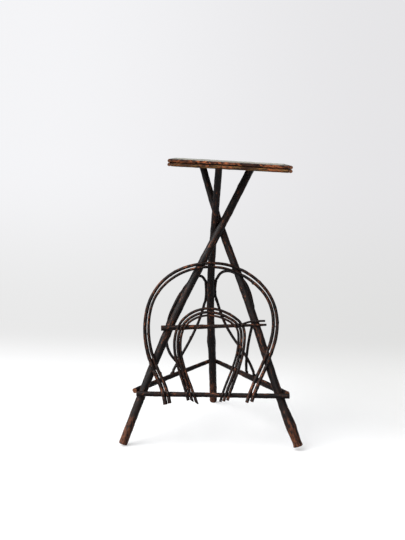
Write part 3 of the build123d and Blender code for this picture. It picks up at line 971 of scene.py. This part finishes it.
class Stretchers(bpy.types.Operator):
    """Make the three lower stretchers"""

    bl_idname = "twig_stand.stretchers"
    bl_label = "Stretchers"

    def execute(self, context):
        sticks = context.scene.twig_sticks
        relief = sticks.twig_relief * 1.3
        wear = rub_outward(0.7, FORWARD_AND_UP)
        names = ("stretcher_front", "stretcher_back_left", "stretcher_back_right")
        for seed, name in enumerate(names):
            rng = random.Random(seed + 20)
            ends = straight_stations(name, (STRETCHER_END, STRETCHER_END))
            course = course_of(name, ends, sticks.ring_step)
            knobs = scattered_knobs(rng, course.length(), every=0.06, reach=0.004, height=0.0006)
            mesh = barked_stick(name + "_bark", course, 24, relief, seed + 30, knobs, wear)
            put(name + "_bark", mesh, bark_of("stretcher_bark"), [name])
        return {"FINISHED"}


class MidRail(bpy.types.Operator):
    """Make the forked rail across the front"""

    bl_idname = "twig_stand.mid_rail"
    bl_label = "Forked Rail"

    def execute(self, context):
        sticks = context.scene.twig_sticks
        rng = random.Random(44)
        ends = straight_stations("mid_rail", RAIL_ENDS)
        course = course_of("mid_rail", ends, sticks.ring_step * 0.9)
        wear = rub_outward(0.9, FORWARD_AND_UP)
        knobs = scattered_knobs(rng, course.length(), every=0.05, reach=0.004, height=0.0006)
        knobs.append(Knob(along=0.112, angle=1.2, reach=0.006, height=0.0012))
        mesh = barked_stick("mid_rail_bark", course, 22, sticks.twig_relief, 45, knobs, wear)
        prong = Course(prong_stations(*ends), sticks.ring_step * 0.9)
        prong_mesh = barked_stick("prong", prong, 18, sticks.twig_relief * 0.8, 46, (), wear)
        rail = put("mid_rail_bark", mesh, bark_of("stretcher_bark"), ["mid_rail"])
        weld(rail, prong_mesh)
        return {"FINISHED"}


class BigArches(bpy.types.Operator):
    """Make the two large arches"""

    bl_idname = "twig_stand.big_arches"
    bl_label = "Big Arches"

    def execute(self, context):
        names = ("big_arch_outer", "big_arch_inner")
        # The wear on the big arches faces up, forward and to the left, toward the key light: its orange
        # flecks are partly worn bark and partly a painted highlight.
        bent_twigs(context, names, 20, 0.0008, (-0.5, -0.6, 0.7), 1.1, 60)
        return {"FINISHED"}


class SmallArches(bpy.types.Operator):
    """Make the three nested small arches"""

    bl_idname = "twig_stand.small_arches"
    bl_label = "Small Arches"

    def execute(self, context):
        names = ("small_arch_outer", "small_arch_middle", "small_arch_inner")
        bent_twigs(context, names, 18, 0.0006, (-0.2, -0.8, 0.5), 0.7, 70)
        return {"FINISHED"}


class BackLoops(bpy.types.Operator):
    """Make the loop of each back side"""

    bl_idname = "twig_stand.back_loops"
    bl_label = "Back Loops"

    def execute(self, context):
        bent_twigs(context, ("loop_back_left", "loop_back_right"), 18, 0.0006, (0, 0.8, 0.5), 0.6, 80)
        return {"FINISHED"}


class EdgeTwigs(bpy.types.Operator):
    """Make the two rows of twigs round the board"""

    bl_idname = "twig_stand.edge_twigs"
    bl_label = "Edge Twigs"

    def execute(self, context):
        sticks = context.scene.twig_sticks
        relief = sticks.twig_relief * 1.5
        names = [name for name in sorted(NODES) if name.startswith("edge_twig_")]
        for number, name in enumerate(names):
            rng = random.Random(90 + number)
            ends = straight_stations(name, (EDGE_TWIG_END, EDGE_TWIG_END))
            course = course_of(name, ends, sticks.ring_step * 0.9)
            knobs = scattered_knobs(rng, course.length(), every=0.05, reach=0.004, height=0.0004)
            mesh = barked_stick(name + "_bark", course, 20, relief, 90 + number, knobs, rub_at_edge)
            bark = "edge_bark_dark" if name.endswith("upper") else "edge_bark"
            put(name + "_bark", mesh, bark_of(bark), [name])
        return {"FINISHED"}


class TopBoard(bpy.types.Operator):
    """Give the board its wood"""

    bl_idname = "twig_stand.top_board"
    bl_label = "Top Board"

    def execute(self, context):
        mesh = NODES["top_board"].data
        rows = [vertex.co - BOARD_TOP for vertex in mesh.vertices]
        places = [(row.dot(BOARD_ALONG), row.y, row.dot(BOARD_UP)) for row in rows]
        store(mesh, "grain_at", "FLOAT_VECTOR", places)
        mesh.materials.clear()
        mesh.materials.append(FINISHES["board_top"])
        return {"FINISHED"}


class Fasteners(bpy.types.Operator):
    """Give the nails their steel and put the brads' heads where the twigs cross the sticks"""

    bl_idname = "twig_stand.fasteners"
    bl_label = "Nails"

    def execute(self, context):
        for name, node in NODES.items():
            if name.startswith("nails_"):
                node.data.materials.clear()
                node.data.materials.append(FINISHES["nail_steel"])
        twigs = [name for name in COURSES if "arch" in name or "loop" in name]
        sticks = [name for name in COURSES if "leg" in name or "stretcher" in name or "rail" in name]
        work = bmesh.new()
        for twig in twigs:
            for stick in sticks:
                for place, out, radius in crossings(COURSES[twig], COURSES[stick]):
                    turned = out.to_track_quat("Z", "Y").to_matrix().to_4x4()
                    at = Matrix.Translation(place + out * radius * 1.02) @ turned
                    bmesh.ops.create_cone(
                        work,
                        cap_ends=True,
                        segments=16,
                        radius1=BRAD_HEAD,
                        radius2=BRAD_HEAD * 0.72,
                        depth=BRAD_HEAD * 0.5,
                        matrix=at,
                    )
        for vertex in work.verts:
            vertex.co = inside_box(vertex.co)
        mesh = bpy.data.meshes.new("brad_heads")
        work.to_mesh(mesh)
        work.free()
        put("brad_heads", mesh, [FINISHES["nail_steel"]], [])
        return {"FINISHED"}


class Stage(bpy.types.Operator):
    """Make the floor, the backdrop, the lamps and the camera"""

    bl_idname = "twig_stand.stage"
    bl_label = "Stage"

    def execute(self, context):
        settings = context.scene.twig_stage
        self.sweep()
        self.lights(settings)
        self.camera(settings)
        return {"FINISHED"}

    def sweep(self):
        """A pale floor that curves up into a wall behind the stand."""
        floor_front, bend, wall, top, half = -6.0, 0.4, 1.5, 4.0, 7.0
        bend_steps = 24
        profile = [(floor_front, 0.0), (wall - bend, 0.0)]
        for step in range(1, bend_steps + 1):
            turn = math.pi / 2 * step / bend_steps
            profile.append((wall - bend + bend * math.sin(turn), bend - bend * math.cos(turn)))
        profile.append((wall, top))
        mesh = bpy.data.meshes.new("backdrop")
        verts = [(x, y, z) for y, z in profile for x in (-half, half)]
        faces = [(2 * i, 2 * i + 1, 2 * i + 3, 2 * i + 2) for i in range(len(profile) - 1)]
        mesh.from_pydata(verts, [], faces)
        for polygon in mesh.polygons:
            polygon.use_smooth = True
        backdrop = bpy.data.objects.new("backdrop", mesh)
        mesh.materials.append(self.paper_with_painted_shade())
        bpy.context.scene.collection.objects.link(backdrop)

    def paper_with_painted_shade(self):
        """Paper that glows to the camera only, with painted shade on the floor and the wall towards the
        right and on the wall towards its foot: the floor takes a shadow too, the back is clear.
        """
        material, tree, shader = new_material("paper_with_painted_shade")
        place = tree.nodes.new("ShaderNodeSeparateXYZ")
        plug(tree, tree.nodes.new("ShaderNodeTexCoord").outputs["Object"], place.inputs[0])
        seen = tree.nodes.new("ShaderNodeLightPath").outputs["Is Camera Ray"]
        wall = ramp(tree, place.outputs["Y"], 0.15, 1.25)
        # Painted shade: the floor is darker towards the right and the back, both in its colour and in its
        # glow.
        painted_shade_right = ramp(tree, weighed(tree, place.outputs["X"], place.outputs["Y"], 0.6), 0.1, 0.9)
        floor = blend_colour(tree, painted_shade_right, (0.54, 0.54, 0.54, 1), (0.45, 0.45, 0.445, 1))
        floor = blend_colour(tree, wall, floor, (0, 0, 0, 1))
        plug(tree, blend_colour(tree, seen, (0.30, 0.30, 0.31, 1), floor), shader.inputs["Base Color"])
        # Painted light and shade on the wall: brightest at its top left, darker towards the right and
        # towards its foot.
        across = ramp(tree, place.outputs["X"], -0.9, 0.9)
        high = blend_colour(tree, across, (0.91, 0.91, 0.93, 1), (0.79, 0.785, 0.80, 1))
        low = blend_colour(tree, across, (0.82, 0.82, 0.82, 1), (0.75, 0.75, 0.745, 1))
        shade = blend_colour(tree, ramp(tree, place.outputs["Z"], 0.0, 0.75), low, high)
        floor_glow_with_painted_shade = blend_colour(tree, painted_shade_right, (0.44, 0.44, 0.44, 1), (0.37, 0.37, 0.365, 1))
        plug(tree, blend_colour(tree, wall, floor_glow_with_painted_shade, shade), shader.inputs["Emission Color"])
        plug(tree, seen, shader.inputs["Emission Strength"])
        shader.inputs["Roughness"].default_value = 0.9
        shader.inputs["Specular IOR Level"].default_value = 0.0
        clear = tree.nodes.new("ShaderNodeBsdfTransparent")
        either = tree.nodes.new("ShaderNodeMixShader")
        geometry = tree.nodes.new("ShaderNodeNewGeometry")
        plug(tree, geometry.outputs["Backfacing"], either.inputs["Fac"])
        plug(tree, shader.outputs[0], either.inputs[1])
        plug(tree, clear.outputs[0], either.inputs[2])
        plug(tree, either.outputs[0], tree.nodes["Material Output"].inputs["Surface"])
        return material

    def lights(self, settings):
        """Soft window light from the upper left, and a dim room that is darker to the right."""
        towards = Vector(settings.key_from).normalized()
        world = bpy.data.worlds.new("room")
        bpy.context.scene.world = world
        world.use_nodes = True
        tree = world.node_tree
        sky = tree.nodes["Background"]
        facing = tree.nodes.new("ShaderNodeVectorMath")
        facing.operation = "DOT_PRODUCT"
        plug(tree, tree.nodes.new("ShaderNodeTexCoord").outputs["Generated"], facing.inputs[0])
        facing.inputs[1].default_value = towards
        bright = weighed(tree, 0.1, ramp(tree, facing.outputs["Value"], -0.1, 1.0), 2.7)
        seen = tree.nodes.new("ShaderNodeLightPath").outputs["Is Camera Ray"]
        light = value(tree, "MULTIPLY", bright, settings.sky_light)
        shown = value(tree, "MULTIPLY", seen, 0.9)
        unseen = value(tree, "MULTIPLY", value(tree, "SUBTRACT", 1.0, seen), light)
        plug(tree, value(tree, "ADD", shown, unseen), sky.inputs["Strength"])
        sky.inputs["Color"].default_value = (0.97, 0.98, 1, 1)
        lamp = bpy.data.lights.new("key", "SUN")
        lamp.energy = settings.key_light
        lamp.angle = math.radians(46)
        key = bpy.data.objects.new("key", lamp)
        key.rotation_euler = towards.to_track_quat("Z", "Y").to_euler()
        bpy.context.scene.collection.objects.link(key)

    def camera(self, settings):
        """The camera, turned by its yaw, then its pitch, then its roll."""
        level = Vector((-math.sin(settings.yaw), math.cos(settings.yaw), 0))
        ahead = level * math.cos(settings.pitch) - UP * math.sin(settings.pitch)
        down = -level * math.sin(settings.pitch) - UP * math.cos(settings.pitch)
        right = Vector((math.cos(settings.yaw), math.sin(settings.yaw), 0))
        leaned_right = right * math.cos(settings.roll) - down * math.sin(settings.roll)
        leaned_down = right * math.sin(settings.roll) + down * math.cos(settings.roll)
        data = bpy.data.cameras.new("camera")
        data.sensor_width = 36
        data.lens = settings.lens
        camera = bpy.data.objects.new("camera", data)
        turned = Matrix((leaned_right, -leaned_down, -ahead)).transposed().to_4x4()
        camera.matrix_world = Matrix.Translation(Vector(settings.camera_place)) @ turned
        bpy.context.scene.collection.objects.link(camera)
        bpy.context.scene.camera = camera
        bpy.context.scene.view_settings.view_transform = "Standard"


class StandPanel(bpy.types.Panel):
    """The steps that dress the stand"""

    bl_idname = "TWIG_STAND_PT_steps"
    bl_label = "Twig Stand"
    bl_space_type = "VIEW_3D"
    bl_region_type = "UI"
    bl_category = "Twig Stand"

    def draw(self, context):
        for operator in STEPS:
            self.layout.operator(operator.bl_idname)


STEPS = (
    Finishes,
    Legs,
    Stretchers,
    MidRail,
    BigArches,
    SmallArches,
    BackLoops,
    EdgeTwigs,
    TopBoard,
    Fasteners,
    Stage,
)
SETTINGS = {
    "twig_sticks": StickSettings,
    "twig_finishes": FinishSettings,
    "twig_stage": StageSettings,
}


def register():
    """Add the settings, the steps and the panel to Blender."""
    for group in SETTINGS.values():
        bpy.utils.register_class(group)
    for name, group in SETTINGS.items():
        setattr(bpy.types.Scene, name, PointerProperty(type=group))
    for operator in STEPS:
        bpy.utils.register_class(operator)
    bpy.utils.register_class(StandPanel)


def unregister():
    """Take them out again."""
    bpy.utils.unregister_class(StandPanel)
    for operator in reversed(STEPS):
        bpy.utils.unregister_class(operator)
    for name, group in SETTINGS.items():
        delattr(bpy.types.Scene, name)
        bpy.utils.unregister_class(group)


def main():
    """Run every step in order."""
    register()
    for operator in STEPS:
        group, step = operator.bl_idname.split(".")
        getattr(getattr(bpy.ops, group), step)()


if __name__ == "__main__":
    main()
